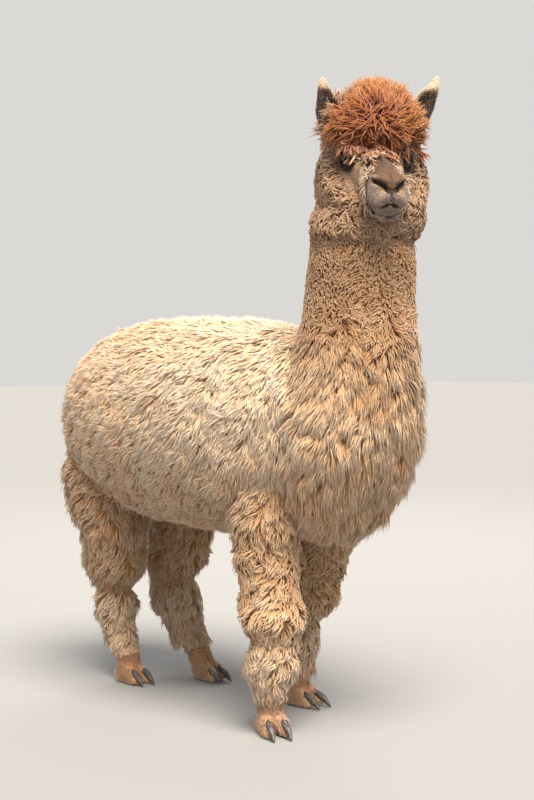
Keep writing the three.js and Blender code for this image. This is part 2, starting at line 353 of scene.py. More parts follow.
def ripple(points, size, seed):
    """A smooth random value from about -1 to 1, which changes over the size given, in metres."""
    rng = np.random.default_rng(seed)
    ways = rng.normal(size=(7, 3))
    ways *= (2 * math.pi / size * rng.uniform(0.6, 1.3, 7) / np.linalg.norm(ways, axis=1))[:, None]
    return np.sin(points @ ways.T + rng.uniform(0, 2 * math.pi, 7)).sum(1) / 3.2


def along_muzzle(face):
    """How far along the muzzle's middle line a point is, how far off it, and how far above it, in mm."""
    axis = (MUZZLE_TIP - MUZZLE_ROOT) / np.linalg.norm(MUZZLE_TIP - MUZZLE_ROOT)
    along = (face - MUZZLE_ROOT) @ axis
    off = face - MUZZLE_ROOT - along[:, None] * axis
    return along, np.linalg.norm(off, axis=1), off @ np.cross([1.0, 0, 0], axis)


def off_eyes(points):
    """How far each point is from the middle of each eye, in mm."""
    return [np.linalg.norm(points - place, axis=1) / MM for place in EYE.values()]


def bareness(points):
    """1 where the hair is short: nose, lips, chin, bridge and round the eyes. 0 in the fleece."""
    face = on_face(points)
    left, _, up = face.T
    along, off, above = along_muzzle(face)
    nose = ease(68, 58, off) * ease(86, 108, along)
    bridge = (ease(36, 26, np.abs(left)) * ease(36, 56, along) * ease(8, 22, above)
              * ease(68, 58, off))
    eyes = [ease(34, 25, away) for away in off_eyes(points)]
    below_eyes = [ease(38, 26, np.linalg.norm(face - [side * 58, 32, -34], axis=1)) for side in (1, -1)]
    return np.maximum.reduce([nose, bridge, *eyes, *below_eyes]) * ease(40, 20, up)


def share_of(region):
    return shares[:, REGIONS.index(region)]


# The mop's solid has lumps like locks. They are rubbed off first, so that its skin is a plain dome.
rubbed = blur(places, edges, DOME_RUBS)
places += (rubbed - places) * ease(0.1, 0.6, share_of("topknot"))[:, None]
rubbed = blur(places, edges, HEAD_RUBS)
places += (rubbed - places) * (ease(0.1, 0.6, share_of("head")) * (1 - bareness(places)))[:, None]
move_to(skin.data, places)

depth = shares @ np.array([COAT_DEPTH[region] for region in REGIONS])
# The fleece lies in soft swells, so its depth wavers over the trunk and the legs.
waver = share_of("trunk") + share_of("upper leg") + 0.6 * share_of("neck")
depth = depth * (1 + 0.22 * waver * ripple(places, 0.13, 5) + 0.12 * waver * ripple(places, 0.06, 6))
bare = blur(bareness(places)[:, None], edges, 4)[:, 0]
depth = (depth * (1 - bare) + BARE_DEPTH * bare) * ease(0.001, 0.014, places[:, 2]) * MM
for _ in range(SINK_STEPS):
    sunk = vertex_places(skin.data) - normals_of(skin.data) * (depth / SINK_STEPS)[:, None]
    evened = blur(sunk, edges, 2)
    evenness = ease(3 * MM, 12 * MM, depth)[:, None]
    move_to(skin.data, sunk + (evened - sunk) * evenness)
# The dome under the mop is drawn in at its top, between the ears.
places = vertex_places(skin.data)
face = on_face(places)
narrowing = DOME_DRAWN_IN * ease(0.1, 0.6, share_of("topknot")) * ease(70, 120, face[:, 2])
move_to(skin.data, places - (face[:, 0] * narrowing * MM)[:, None] * LEFT)
# The ruff under the chin ends in a step above the neck.
face = on_face(vertex_places(skin.data))
wool = (share_of("head") + share_of("neck")) * (1 - bare) * ease(-110, -60, face[:, 1])
ruff = RUFF_SWELL * ease(RUFF_EDGE - 4, RUFF_EDGE + 12, face[:, 2]) * ease(-90, -125, face[:, 2])
below = (RUFF_STEP * ease(RUFF_EDGE - 60, RUFF_EDGE - 12, face[:, 2])
         * ease(RUFF_EDGE + 4, RUFF_EDGE - 8, face[:, 2]))
push_out(skin.data, wool * (ruff - below) * MM)
# On the legs the fleece hangs in a cuff above the knee and the hock, and puffs out again below.
places = vertex_places(skin.data)
height = places[:, 2] - HOCK_RISE * ease(0, 0.2, places[:, 1])
on_legs = (share_of("upper leg") + share_of("lower leg")) * ease(0.42, 0.36, places[:, 2])
swells = sum(rise * np.exp(-((height - middle) / width) ** 2) for rise, middle, width in LEG_SWELLS)
push_out(skin.data, on_legs * swells * MM)
# At the inner side of the right knee the fleece has rolled into a ball, under a shaggy cuff.
from_ball = np.linalg.norm(vertex_places(skin.data) - KNEE_BALL, axis=1) / MM
push_out(skin.data, BALL_SWELL * MM * ease(30, 6, from_ball))
# An ear's tip is blunt, with a soft edge.
ear_tips = ease(0.3, 0.7, share_of("ear")) * ease(150, 185, face[:, 2])
push_out(skin.data, EAR_TIP_SWELL * MM * ear_tips)
print("depth of the coat, mm:", (depth.min() / MM).round(1), "to", (depth.max() / MM).round(1))

# %% [markdown]
# ## The face
#
# The face is where the skin shows, so its mesh is made finer there and modelled by small moves of
# the surface, as by hand with a tool: nostrils that slant into a V, the groove that splits the upper
# lip, the line of the mouth, the two soft pads of the lip and the hollow under each eye.

# %% A finer mesh for the muzzle and the eyes
def finer(piece, wanted):
    """Cuts the faces whose middles are wanted into smaller ones."""
    chosen = wanted(read_values(piece.data.polygons, "center", 3).astype(float))
    edit_faces(piece, bpy.ops.mesh.subdivide, chosen, number_cuts=1)


def near_eyes(points, reach):
    return np.minimum(*off_eyes(points)) < reach


finer(skin, lambda p: (on_face(p)[:, 1] > 76) | near_eyes(p, 36))
finer(skin, lambda p: (on_face(p)[:, 1] > 100) | near_eyes(p, 28))
print("skin faces with the fine face:", len(skin.data.polygons))


# %% Tools that move the surface
def distance_to_path(points, path):
    """How far each point is from a line through the points of a path."""
    nearest = np.full(len(points), np.inf)
    for start, end in zip(path[:-1], path[1:]):
        stretch = end - start
        t = np.clip((points - start) @ stretch / (stretch @ stretch), 0, 1)
        nearest = np.minimum(nearest, np.linalg.norm(points - start - t[:, None] * stretch, axis=1))
    return nearest


def both_sides(path):
    """A path on the animal's left, and its mirror image."""
    path = np.array(path, float)
    return [path, path * [-1, 1, 1]]


# Each feature of the face: its width and how far it stands out, in mm, how much painted shade it gets
# inside, and its path. A path that starts at the left is laid on the right as well.
FEATURES = {
    "under the eye": (15, -4.0, 0, [[46, 44, -34], [42, 66, -44]]),
    "side of the bridge": (12, -4.5, 0, [[34, 52, -10], [32, 86, -28]]),
    "bridge": (12, 2.5, 0, [[0, 40, 14], [0, 90, -14]]),
    "lip pad": (13, 9.0, 0, [[20, 141, -95], [27, 131, -101]]),
    "side of the lip": (12, 3.0, 0, [[36, 118, -92], [42, 100, -88]]),
    "lower lip": (8, -4.0, 0, [[-26, 114, -121], [0, 122, -121], [26, 114, -121]]),
    "chin": (13, 4.0, 0, [[-10, 112, -131], [10, 112, -131]]),
    "roof of the nostril": (7, 5.0, 0, [[40, 112, -41], [29, 130, -46], [12, 144, -56]]),
    "split of the lip": (3.4, -9.0, 0, [[0, 152, -83], [0, 149, -95], [0, 141, -106]]),
    "mouth": (4.0, -10.0, 1, [[51, 64, -86], [48, 84, -96], [38, 110, -109], [22, 128, -116],
                              [8, 134, -111], [0, 138, -106]]),
    "nostril": (4.4, -14.0, 1, [[44, 118, -49], [33, 135, -57], [18, 148, -68], [4, 151, -83]]),
    "line of the nose": (2.2, -2.0, 0.3, [[0, 118, -34], [0, 136, -48], [0, 150, -74]]),
}


def laid_on(path, face):
    """The path in short steps, each of them moved to the nearest point of the face."""
    stations = np.arange(len(path))
    fine = np.arange(0, len(path) - 0.99, 0.25)
    steps = np.stack([np.interp(fine, stations, column) for column in path.T], 1)
    return face[nearest_index(steps, face)]


def model_face(mesh):
    """Models each feature in turn, and tells how much painted shade each point gets in the nostrils, the
    mouth and the line of the nose.
    """
    hollow_shade = np.zeros(len(mesh.vertices))
    front = on_face(vertex_places(mesh))
    front = front[(front[:, 1] > 20) & (np.linalg.norm(front, axis=1) < 220)]
    for width, amount, painted_shade, path in FEATURES.values():
        paths = both_sides(path) if path[0][0] > 0 else [np.array(path, float)]
        face = on_face(vertex_places(mesh))
        away = np.min([distance_to_path(face, laid_on(path, front)) for path in paths], axis=0)
        nearness = np.exp(-(away / width) ** 2)
        push_out(mesh, amount * MM * nearness)
        hollow_shade = np.maximum(hollow_shade, nearness * painted_shade)
    return hollow_shade


# How much painted shade each point gets in the nostrils, the mouth and the line of the nose.
hollow_shade = model_face(skin.data)

# %% [markdown]
# ## The eyelids
#
# A lid is a fold of skin that lies on the eyeball. So round each eye the skin is lifted, along the
# line in which the eye looks, to a shell just outside the ball, which runs out in a soft slope onto
# the face. Inside the almond of the opening it is pushed behind the ball's front, out of sight.

# %% The eyelids
EYE_RADIUS = 17.0
LID_THICKNESS = 1.5
LID_SLOPE = 1.05      # how steeply the lids fall to the face beside the ball
EYE_LOOK = 50         # degrees from straight ahead to where an eye looks
OPENING_WIDTH = 13.4
OPENING_HEIGHT = 10.6
OPENING_LOWERED = 0.6
LID_RIM = (0.9, 1.12, 0.14)       # height in mm, then place and width in sizes of the opening
LID_CREASE = (-1.6, 1.75, 0.18)


def eye_axes(side):
    """The eye's axes: along the lids towards the nose, up, and out of the head."""
    sign = 1 if side == "left" else -1
    outward = math.radians(EYE_LOOK)
    out = sign * math.sin(outward) * LEFT + math.cos(outward) * AHEAD
    along = np.cross(UP, out) * -sign
    return np.array([along, UP, out])


def smooth_greater(first, second, softness):
    """The greater of two heights, with a soft change from one to the other."""
    return 0.5 * (first + second + np.sqrt((first - second) ** 2 + softness ** 2))


def opening(local):
    """Less than 1 inside the almond of an eye's opening, from places on the eye's own axes."""
    across = local[:, 0] / OPENING_WIDTH
    half_height = OPENING_HEIGHT * np.sqrt(np.maximum(1 - 0.35 * across ** 2, 0.2))
    height = (local[:, 1] + OPENING_LOWERED) / half_height
    return np.sqrt(across ** 2 + height ** 2)


def model_lids(mesh):
    shell_radius = EYE_RADIUS + LID_THICKNESS
    turn = shell_radius * math.cos(math.atan(LID_SLOPE))
    for side, place in EYE.items():
        places = vertex_places(mesh)
        local = (places - place) @ eye_axes(side).T / MM
        along, up, out = local.T
        off = np.hypot(along, up)
        shell = np.sqrt(np.maximum(shell_radius ** 2 - off ** 2, turn ** 2))
        shell -= np.maximum(off - math.sqrt(shell_radius ** 2 - turn ** 2), 0) * LID_SLOPE
        slit = opening(local)
        rim, crease = [height * np.exp(-((slit - place_of) / width) ** 2)
                       for height, place_of, width in (LID_RIM, LID_CREASE)]
        crease = crease * ease(-2, 8, up)
        lid = smooth_greater(out, shell + rim + crease, 3.0)
        ball = np.sqrt(np.maximum(EYE_RADIUS ** 2 - off ** 2, 0))
        inside = ease(1.06, 0.94, slit)
        height = lid + (ball - 5 - lid) * inside
        rise = (height - out) * (ease(-34, -24, out) * ease(46, 34, off))
        move_to(mesh, places + eye_axes(side)[2] * (rise * MM)[:, None])


model_lids(skin.data)
apply_modifier(skin, "SMOOTH", factor=0.5, iterations=1)
print("skin, triangles:", len(triangles_of(skin.data)))

# %% [markdown]
# ## What grows where
#
# An alpaca's coat isn't one thing. It hangs in long pencils on the breast, lies in wavy pointed
# locks along the back, curls into small knobs on the neck and cheeks, stands up as a mop between
# the ears, and is short and straight on the face, the ears and the feet. Each of these is a style
# of lock. Every point of the skin gets a share of each style, so one runs gently into the next.

# %% The styles of lock
# length and width in mm. lean is the angle in degrees from the skin's outward line at the root, curl
# how much further the lock turns by its tip, wave its sideways swing in widths, mess the scatter of
# its direction in degrees. The tips within a clump, in mm across, draw together by the share pull.
# soft is how far the lock is shaded like the skin below it.
STYLE_PARTS = ("length", "width", "lean", "curl", "wave", "mess", "clump", "pull", "soft")
STYLES = {
    "back": (38, 4.2, 50, 46, 0.60, 20, 13, 0.50, 1.6),
    "breast": (56, 4.4, 56, 38, 0.60, 12, 16, 0.60, 1.4),
    "neck": (16, 4.3, -6, 170, 0.25, 45, 6, 0.25, 0.5),
    "cheek": (27, 5.2, 0, 165, 0.80, 42, 12, 0.60, 0.5),
    "beard": (34, 5.6, 2, 165, 0.80, 36, 12, 0.62, 0.5),
    "mop": (58, 4.8, 4, 52, 0.90, 40, 8, 0.75, 0.4),
    "temple": (42, 5.0, 36, 56, 0.80, 30, 8, 0.70, 0.4),
    "fringe": (46, 5.6, 4, 165, 0.60, 44, 9, 0.60, 0.4),
    "tail": (54, 4.4, 54, 38, 0.60, 12, 15, 0.60, 1.0),
    "thigh": (40, 4.4, 48, 58, 0.80, 18, 18, 0.65, 1.3),
    "knob": (38, 5.0, 18, 130, 0.90, 28, 18, 0.72, 1.1),
    "cannon": (42, 4.8, 36, 88, 1.20, 22, 18, 0.75, 1.2),
    "foot": (13, 1.7, 62, 22, 0.30, 12, 4, 0.25, 0.8),
    "face": (7.0, 0.9, 68, 20, 0.15, 10, 3, 0.15, 0.6),
    "ear": (8, 0.9, 70, 16, 0.20, 8, 3, 0.15, 0.6),
}
STYLE_NAMES = list(STYLES)
STYLE_TABLE = np.array(list(STYLES.values()), float)

# %% Shares of the styles
places = vertex_places(skin.data)
normals = normals_of(skin.data)
edges = edges_of(skin.data)
shares = blur(region_shares(places), edges, 6)
bare = bareness(places)


def style_shares(places, normals):
    _, ahead, up = on_face(places).T
    _, y, z = places.T
    trunk, neck, head = share_of("trunk"), share_of("neck"), share_of("head")
    topknot, upper = share_of("topknot"), share_of("upper leg")
    wool = 1 - bare
    front = ease(-0.29, -0.40, y) * ease(1.00, 0.84, z) * ease(0.44, 0.52, z)
    beard = ease(-92, -116, up) * ease(-172, -160, up) * ease(-80, -30, ahead)
    fringe = ease(-45, 0, ahead) * ease(75, 40, up)
    brow = (head * wool * ease(2, 14, up) * ease(-35, 5, ahead)
            * ease(34, 44, np.minimum(*off_eyes(places))))
    sideways = ease(0.3, 0.8, np.abs(normals @ LEFT))
    knob = upper * ease(0.1, 0.0, y) * ease(0.50, 0.42, z)
    grow = {
        "back": (1 - front) * (trunk + neck * ease(1.00, 0.84, z)),
        "breast": front * (trunk + neck),
        "neck": (1 - front) * neck * ease(0.84, 1.00, z) * wool * (1 - beard),
        "cheek": (head * wool - brow) * (1 - beard),
        "beard": (head + neck) * wool * beard,
        "mop": topknot * (1 - fringe) * (1 - sideways),
        "temple": topknot * (1 - fringe) * sideways,
        "fringe": topknot * fringe + brow,
        "tail": share_of("tail"),
        "thigh": upper - knob,
        "knob": knob,
        "cannon": share_of("lower leg"),
        "foot": share_of("foot"),
        "face": bare * (head + neck),
        "ear": share_of("ear"),
    }
    table = np.stack([grow[name] for name in STYLE_NAMES], 1)
    return table / np.maximum(table.sum(1), 1e-6)[:, None]


styles = blur(style_shares(places, normals), edges, 4)
print("share of the skin for each style:", dict(zip(STYLE_NAMES, styles.mean(0).round(3))))

# %% [markdown]
# ## The markings
#
# The animal is cream on the trunk, tan on the neck and legs, and rust red on the mop and pasterns.
# The face has a brown bridge, dark rims to the eyes, a pale patch beside the nose and grey lips.
# These are masks worked out from the place on the body. The skin carries them, and each lock takes
# the values at its root, so that skin and coat always agree.

# %% The masks
MASKS = ("tan", "rust", "brown", "pale", "grey", "dark")
EAR_STEP = 5.0              # the ears are measured level by level, this many mm apart
# The middle of each pad of the upper lip has pale short hair and a painted highlight.
LIP_HAIR_AND_HIGHLIGHT = (25, 136, -97)   # the pale middle of each pad of the upper lip
BODY_BLUR = 50              # rounds of blurring for the markings below the head
EAR_BLUR = 3


def spot(face, place, size):
    """1 at a place on the face and on its mirror image, fading to 0 at the size given."""
    away = [np.linalg.norm(face - np.array(place) * [side, 1, 1], axis=1) for side in (1, -1)]
    return ease(size, size * 0.35, np.minimum(*away))


def across_ear(face, own):
    """How far out a point of an ear is: 1 at the outer rim, 0 at its middle, -1 at the inner rim."""
    across = np.zeros(len(face))
    for side in (1, -1):
        ear = np.where(own & (face[:, 0] * side > 0))[0]
        level = np.round(face[ear, 2] / EAR_STEP).astype(int)
        level -= level.min()
        low = np.full(level.max() + 1, np.inf)
        high = -low
        np.minimum.at(low, level, face[ear, 0])
        np.maximum.at(high, level, face[ear, 0])
        middle, half = (low + high) / 2, np.maximum((high - low) / 2, 1)
        across[ear] = side * (face[ear, 0] - middle[level]) / half[level]
    return across


def markings(places, normals):
    face = on_face(places)
    left, ahead, up = face.T
    _, y, z = places.T
    style = dict(zip(STYLE_NAMES, styles.T))
    bare_face = style["face"]
    leg = style["knob"] + style["thigh"] + style["cannon"]
    temples = (style["cheek"] + bare_face) * ease(-60, 0, up) * ease(30, -10, ahead)
    cheeks = style["cheek"] + style["beard"]
    trunk = style["back"] + style["breast"]
    along, _, above = along_muzzle(face)
    bridge = ease(46, 24, np.abs(left)) * ease(26, 60, along) * ease(-2, 16, above)
    # The chin is brown, and its brown and dark shares are partly painted shade under the mouth.
    chin = ease(-112, -122, up) * bare_face
    inside_ear = (style["ear"] * ease(-0.4, 0.1, normals @ AHEAD) * ease(188, 172, up)
                  * ease(-0.95, -0.6, across_ear(face, style["ear"] > 0.5)))
    shoulder = ease(0.25, -0.15, y) * ease(0.5, 0.75, z) * trunk
    lips = bare_face * ease(92, 120, along) * (1 - bridge) * (1 - 0.5 * chin)
    # Less grey where each lip pad has its pale hair and painted highlight.
    lips *= 1 - 0.6 * spot(face, LIP_HAIR_AND_HIGHLIGHT, 26)
    fields = {
        "tan": (style["neck"] + 0.85 * share_of("neck") * trunk * ease(0.72, 1.0, z)
                # The last share on the next line, low on the trunk, is painted shade on the lower flank,
                # breast and belly.
                + 0.55 * leg + cheeks + 0.55 * trunk * ease(0.76, 0.54, z)
                + 0.2 * style["back"] * ease(0.2, 0.5, y)
                # Painted shade where the back faces up, which tones down the light from above.
                + 0.3 * style["back"] * ease(0.3, 0.9, normals[:, 2])
                + 0.25 * style["foot"] + 0.4 * bare_face),
        "rust": (style["mop"] + style["temple"] + style["fringe"] + 0.8 * temples
                 # Painted warm bounce light from the ground: the rust low on the trunk and on the thighs
                 # and cannons.
                 + 0.1 * trunk * ease(0.75, 0.5, z) + 0.12 * (style["thigh"] + style["cannon"])
                 + 0.4 * bare_face * ease(50, 20, np.abs(left)) * ease(-22, 8, up)
                 + 0.3 * style["foot"] * ease(0.012, 0.03, z)
                 + 0.25 * style["cannon"] * ease(0.17, 0.10, z)),
        # The fringe's share of brown is painted shade.
        "brown": (bare_face * bridge + 0.5 * temples + 0.38 * cheeks + 0.25 * style["fringe"] + chin
                  # Brown at the top of the hind thighs, partly the leg's own colour and partly painted
                  # shade under the rump.
                  + 0.3 * style["thigh"] * ease(0.1, 0.3, y) * ease(0.4, 0.6, z)),
        "pale": (0.9 * spot(face, (44, 66, -30), 30) * (1 - bridge)
                 + 0.8 * (style["ear"] - inside_ear) * (1 - share_of("topknot"))
                 + 0.45 * style["cannon"] + 0.6 * shoulder * (1 - share_of("neck")) + 0.1 * cheeks
                 # Pale hair and a painted highlight on each pad of the upper lip.
                 + 0.45 * spot(face, LIP_HAIR_AND_HIGHLIGHT, 26)),
        "grey": lips + 0.5 * bare_face * (1 - bridge) * ease(-14, -28, up),
        "dark": (ease(30, 20, np.minimum(*off_eyes(places))) + inside_ear
                 # Painted shade in the nostrils, the mouth and the line of the nose, and partly under the
                 # chin.
                 + 0.8 * spot(face, (34, 26, 4), 20) + ease(0.02, 0.5, hollow_shade) + 0.2 * chin),
    }
    return np.stack([np.clip(fields[name], 0, 1) for name in MASKS], 1)


def mixed_in(values, changed, share):
    """The values, changed as much as each point's share says."""
    return values * (1 - share[:, None]) + changed * share[:, None]


masks = blur(markings(places, normals), edges, 1)
body = ease(0.1, 0.5, share_of("trunk") + share_of("neck") + share_of("upper leg") + share_of("lower leg"))
body = body * ease(-150, -200, on_face(places)[:, 2])
masks = mixed_in(masks, blur(masks, edges, BODY_BLUR), body)
masks = mixed_in(masks, blur(masks, edges, EAR_BLUR), ease(0.3, 0.7, share_of("ear")))
for i, name in enumerate(MASKS):
    set_values(skin.data, name, masks[:, i])
for name in ("along", "tone"):
    set_values(skin.data, name, np.full(len(places), 0.5))
print("masks on the skin:", MASKS)

# %% [markdown]
# ## Patches of the coat
#
# The coat is cut into patches of a handy size, each its own piece. Each patch of skin is unwrapped
# flat, and every lock gets a tiny square of its own on that unwrap, where its root is.

# %% Patches and their unwraps
PATCHES = {"mop": ("mop", "fringe", "temple"), "cheeks": ("cheek", "beard"), "neck": ("neck",),
           "breast": ("breast",), "back": ("back",), "tail": ("tail",),
           "upper_legs": ("thigh", "knob"), "lower_legs": ("cannon",), "feet": ("foot",),
           "face": ("face",), "ears": ("ear",)}
BACK_CUTS = (-0.13, 0.06, 0.27)     # where the back is cut into four, from front to rear, in metres
BACK_PARTS = np.array(["shoulder", "side", "flank", "rump"])
triangles = triangles_of(skin.data)
corner_places = places[triangles]
corner_fields = np.concatenate([normals, styles, masks], 1)[triangles]
middles = corner_places.mean(1)
area = areas(corner_places)
patch_styles = [[STYLE_NAMES.index(name) for name in names] for names in PATCHES.values()]
by_patch = np.stack([styles[triangles][:, :, own].sum((1, 2)) for own in patch_styles], 1)
patch_of = np.array(list(PATCHES), dtype="<U16")[by_patch.argmax(1)]
on_back = patch_of == "back"
patch_of[on_back] = BACK_PARTS[np.digitize(middles[on_back, 1], BACK_CUTS)]
on_legs = patch_of == "upper_legs"
patch_of[on_legs] = np.where(middles[on_legs, 1] < 0.1, "upper_legs_front", "upper_legs_hind")
on_neck = patch_of == "neck"
patch_of[on_neck] = np.where(middles[on_neck] @ LEFT > BROW @ LEFT, "neck_left", "neck_right")


def unwrapped_corners():
    """Where each triangle's corners lie on an unwrap of the patch that it belongs to."""
    mesh = skin.data
    polygon_of = read_values(mesh.loop_triangles, "polygon_index", 1, np.int32)[:, 0]
    loops = read_values(mesh.loop_triangles, "loops", 3, np.int32)
    patch_numbers = np.unique(patch_of, return_inverse=True)[1]
    polygon_patch = np.zeros(len(mesh.polygons), np.int32)
    polygon_patch[polygon_of] = patch_numbers
    mesh.uv_layers.new(name="unwrap")
    for number in range(patch_numbers.max() + 1):
        edit_faces(skin, bpy.ops.uv.smart_project, polygon_patch == number, island_margin=0.002)
    flat = read_values(mesh.uv_layers["unwrap"].data, "uv", 2)
    mesh.uv_layers.remove(mesh.uv_layers["unwrap"])
    return flat[loops].astype(float)


corner_unwraps = unwrapped_corners()
for name in sorted(set(patch_of)):
    print(f"{name}: {area[patch_of == name].sum():.3f} square metres")

# %% [markdown]
# ## The lie of the coat
#
# Fleece grows away from the nose and falls with its own weight. Along the back it sweeps to the
# rear, on the shoulder it hangs, and the mop spreads from the crown.

# %% The lie of the coat
STAR = from_face(-18, 42, 78)   # where the locks of the mop part, high on the brow


def lie_of_coat(points, style):
    """The way that the coat would lie at each point, before it is laid on the skin."""
    x, y, _ = points.T
    left, _, up = on_face(points).T
    side = np.sign(x)[:, None] * [1.0, 0, 0]
    down = np.tile([0.0, 0.0, -1.0], (len(points), 1))
    slope = np.radians(np.interp(y, (-0.40, -0.22, 0.0, 0.30, 0.60), (88, 68, 44, 24, 14)))
    back = np.stack([np.zeros_like(slope), np.cos(slope), -np.sin(slope)], 1) + 0.25 * side
    from_star = points - STAR
    from_star /= np.linalg.norm(from_star, axis=1)[:, None]
    from_star += 0.7 * np.stack([ripple(points, 0.05, seed) for seed in (11, 12, 13)], 1)
    cheek = down - 0.55 * AHEAD
    leg = down + [0.0, 0.25, 0.0]
    lies = {
        "back": back,
        "breast": down + 1.35 * points[:, :1] * LEFT - 0.1 * AHEAD,
        "neck": down,
        "cheek": cheek,
        "beard": cheek,
        "mop": from_star,
        "temple": from_star + 0.8 * down,
        "fringe": from_star + 1.2 * down,
        "tail": down,
        "thigh": leg + [0, 0.25, 0],
        "knob": leg,
        "cannon": leg,
        "foot": down + [0.0, -0.35, 0.0],
        "face": -AHEAD + 0.45 * down * ease(-20, -60, up)[:, None],
        "ear": UP + 0.2 * np.sign(left)[:, None] * LEFT,
    }
    return sum(style[:, i, None] * lies[name] for i, name in enumerate(STYLE_NAMES))


# %% [markdown]
# ## Locks
#
# A lock is a thin spindle with three sides, bent along an arc. A plain one takes 6 triangles, and
# one that curls up to 22. All locks of a patch are made at once as one mesh. Neighbours lean to the
# same lock, so their tips draw together in clumps, as real staples do.

# %% The mesh of many locks
SPINDLE = ((0, 0.35, 0.8, 1), (0.75, 1.04, 0.6, 0))   # how wide a lock is from its root to its tip
UNWRAP_PATCH = 0.003                                 # a lock's square on the unwrap
LOWEST = 0.004                                       # locks bend away from the floor at this height
# Where a lock's rings are along it. A lock with one ring is a plain spindle with six faces.
RING_STEPS = {1: (0, 0.48, 1), 2: (0, 0.55, 1), 3: (0, 0.38, 0.74, 1), 4: (0, 0.3, 0.58, 0.84, 1)}


def unit(vectors):
    return vectors / np.maximum(np.linalg.norm(vectors, axis=1), 1e-9)[:, None]


def laid_on_plane(ways, normals):
    """Unit directions that are square to the normals and otherwise run as the ways do."""
    return unit(ways - (ways * normals).sum(1)[:, None] * normals)


def lock_rings(lock, steps):
    """The middle line, the ridge direction and the width of each lock, step by step."""
    length, width = lock["length"] * MM, lock["width"] * MM
    lean, curl = np.radians(lock["lean"]), np.radians(lock["curl"])
    side = np.cross(lock["out"], lock["lie"])
    for s in steps:
        angle = lean + curl * s
        rise = length / curl * (np.sin(angle) - np.sin(lean))
        run = length / curl * (np.cos(lean) - np.cos(angle))
        swing = lock["wave"] * width * np.sin(2 * math.pi * (lock["waves"] * s + lock["phase"])) * s
        middle = (lock["root"] + rise[:, None] * lock["out"] + run[:, None] * lock["lie"]
                  + swing[:, None] * side + lock["draw"] * s * s)
        ridge = np.sin(angle)[:, None] * lock["out"] - np.cos(angle)[:, None] * lock["lie"]
        yield middle, ridge, side, width * np.interp(s, *SPINDLE)


def soften_normals(mesh, outward):
    """Turns the shading of the locks' upper faces outward, so that they look like soft fine hair."""
    facing = np.repeat(read_values(mesh.polygons, "normal", 3), 3, axis=0)
    shading = read_values(mesh.corner_normals, "vector", 3)
    softened = unit(shading + outward)
    kept = ((softened * facing).sum(1) < 0.25) | ((outward * facing).sum(1) < 0.1)
    softened[kept] = shading[kept]
    mesh.normals_split_custom_set(softened)


def lock_mesh(label, lock, rings):
    """One closed mesh of all locks: rings of three points each, and a tip."""
    count = len(lock["root"])
    steps = RING_STEPS.get(rings, np.linspace(0, 1, rings + 1))
    points, along, across = [], [], []
    for s, (middle, ridge, side, width) in zip(steps, lock_rings(lock, steps)):
        middle[:, 2] = np.maximum(middle[:, 2], LOWEST)
        half, thick = (width / 2)[:, None], width[:, None]
        ring = [middle + half * side - 0.1 * thick * ridge, middle + 0.24 * thick * ridge,
                middle - half * side - 0.1 * thick * ridge]
        is_point = s == 1 or (s == 0 and rings == 1)
        points += [middle] if is_point else ring
        across += [0.0] if is_point else [-1.0, 0.0, 1.0]
        along += [s] if is_point else [s] * 3
    patch = [(0.5 * x, s - 0.5) for x, s in zip(across, along)]
    per_lock = len(points)
    faces = [(0, 1 + (corner + 1) % 3, 1 + corner) for corner in range(3)] if rings == 1 else [(0, 2, 1)]
    for ring in range(rings - 1):
        for corner in range(3):
            a, b = ring * 3 + corner, ring * 3 + (corner + 1) % 3
            faces += [(a, b, b + 3), (a, b + 3, a + 3)]
    last = per_lock - 4
    faces += [(last + corner, last + (corner + 1) % 3, per_lock - 1) for corner in range(3)]
    corners = (np.arange(count)[:, None, None] * per_lock + np.array(faces)).reshape(-1)
    mesh = bpy.data.meshes.new(label)
    mesh.vertices.add(count * per_lock)
    mesh.vertices.foreach_set("co", np.stack(points, 1).astype(np.float32).ravel())
    mesh.loops.add(len(corners))
    mesh.loops.foreach_set("vertex_index", corners.astype(np.int32))
    mesh.polygons.add(len(corners) // 3)
    mesh.polygons.foreach_set("loop_start", np.arange(0, len(corners), 3, dtype=np.int32))
    mesh.polygons.foreach_set("use_smooth", np.ones(len(corners) // 3, bool))
    mesh.update(calc_edges=True)
    outward = lock["out"] * lock["soft"][:, None]
    soften_normals(mesh, np.repeat(outward, per_lock, axis=0)[corners])
    flat = lock["unwrap"][:, None, :] + np.array(patch) * UNWRAP_PATCH
    layer = mesh.uv_layers.new(name="OFBake")
    layer.data.foreach_set("uv", flat.reshape(-1, 2)[corners].astype(np.float32).ravel())
    set_values(mesh, "along", np.tile(along, count))
    set_values(mesh, "across", np.tile(across, count))
    set_values(mesh, "tone", np.repeat(lock["tone"], per_lock))
    for i, name in enumerate(MASKS):
        set_values(mesh, name, np.repeat(lock["masks"][:, i], per_lock))
    return mesh


def lock_piece(name, lock, rings):
    """A new piece of the scene, made of locks."""
    piece = bpy.data.objects.new(name, lock_mesh(name, lock, rings))
    bpy.context.scene.collection.objects.link(piece)
    print(f"{name}: {len(lock['root'])} locks, {len(piece.data.polygons)} triangles")
    return piece


# %% Sowing a patch
SOLE = 0.009          # no lock grows lower than this, so that the soles stay bare
NOSE_FROM = 118       # nor further along the muzzle than this, in mm: nose and lips are bare
TRIES = 6             # random points for each lock. One is kept in each cell of a tilted lattice
CELL_AREA = 1.33      # the area of a cell's side, in shares of the ground that a lock has


